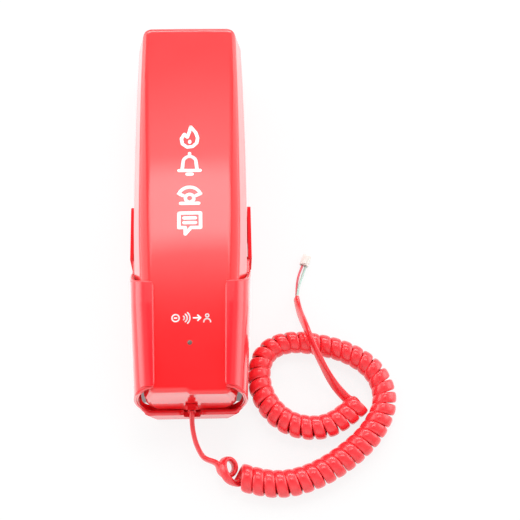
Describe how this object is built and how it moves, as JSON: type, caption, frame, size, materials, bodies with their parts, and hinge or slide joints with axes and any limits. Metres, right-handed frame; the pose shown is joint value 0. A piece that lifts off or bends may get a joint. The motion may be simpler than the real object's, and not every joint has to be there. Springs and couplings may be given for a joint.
{
  "type": "slimline wall telephone",
  "caption": "Slim one-piece wall handset held upright in an open clip-in cradle, with a curly cord that ends in a small two-way connector.",
  "frame": {"origin": "on the wall-side plane, under the middle of the phone's length and width, measured without its cord", "axes": "+Z out of the phone's front, +Y to the ear end, +X to the right seen from the front"},
  "size_m": [0.1477, 0.2708, 0.0531],
  "materials": {
    "handset_red": "glossy moulded red ABS",
    "cradle_red": "glossy moulded red ABS",
    "plunger_red": "red acetal",
    "cord_red": "smooth red PVC",
    "screw_steel": "zinc plated steel",
    "spring_steel": "spring steel",
    "pad_rubber": "black rubber",
    "plug_rubber": "red rubber",
    "capsule_black": "black plastic",
    "diaphragm": "clear amber film",
    "foam": "grey foam",
    "screen_cloth": "black acoustic cloth",
    "mic_metal": "aluminium can",
    "board_green": "green glass epoxy",
    "led_lens": "smoked lamp lens",
    "spacer_white": "white nylon",
    "switch_black": "black moulding",
    "transformer_core": "laminated core",
    "capacitor_sleeve": "blue sleeve",
    "resistor_body": "beige lacquer",
    "wire_red": "red insulation",
    "wire_black": "black insulation",
    "wire_green": "pale green insulation",
    "connector_white": "white nylon",
    "contact_tin": "tinned brass"
  },
  "bodies": {
    "cradle": {"cradle_frame": "cradle_red", "cradle_sheath": "cradle_red", "sheath_screws": "screw_steel", "rest_pads": "pad_rubber", "cord_lead": "cord_red", "cord_coil": "cord_red", "cord_tail": "cord_red", "wire_red": "wire_red", "wire_green": "wire_green", "connector_housing": "connector_white", "connector_contacts": "contact_tin"},
    "handset": {"handset_front_shell": "handset_red", "handset_rear_shell": "handset_red", "case_screws": "screw_steel", "screw_plugs": "plug_rubber", "receiver_capsule": "capsule_black", "receiver_diaphragm": "diaphragm", "receiver_gasket": "foam", "ear_dust_screen": "screen_cloth", "microphone": "mic_metal", "mic_boot": "pad_rubber", "mic_dust_screen": "screen_cloth", "main_board": "board_green", "board_screws": "screw_steel", "indicator_led": "led_lens", "led_holder": "spacer_white", "hook_switch": "switch_black", "line_transformer": "transformer_core", "capacitors": "capacitor_sleeve", "control_chip": "switch_black", "board_components": "resistor_body", "buzzer": "switch_black", "cord_header": "spacer_white", "cord_grommet": "cord_red", "inner_cord": "cord_red", "receiver_wires": "wire_red", "mic_wires": "wire_black"},
    "plunger": {"hook_plunger": "plunger_red", "hook_spring": "spring_steel"}
  },
  "joints": [
    {"name": "handset_lift", "type": "slide", "parent": "cradle", "child": "handset", "axis": [0, 1, 0], "range_m": [0, 0.12]},
    {"name": "hook_plunger_travel", "type": "slide", "parent": "handset", "child": "plunger", "axis": [0, 0, -1], "range_m": [0, 0.002], "deforming": ["hook_spring"]}
  ],
  "couplings": [
    {"joint": "hook_plunger_travel", "follows": "handset_lift", "ratio": 0.016667}
  ]
}
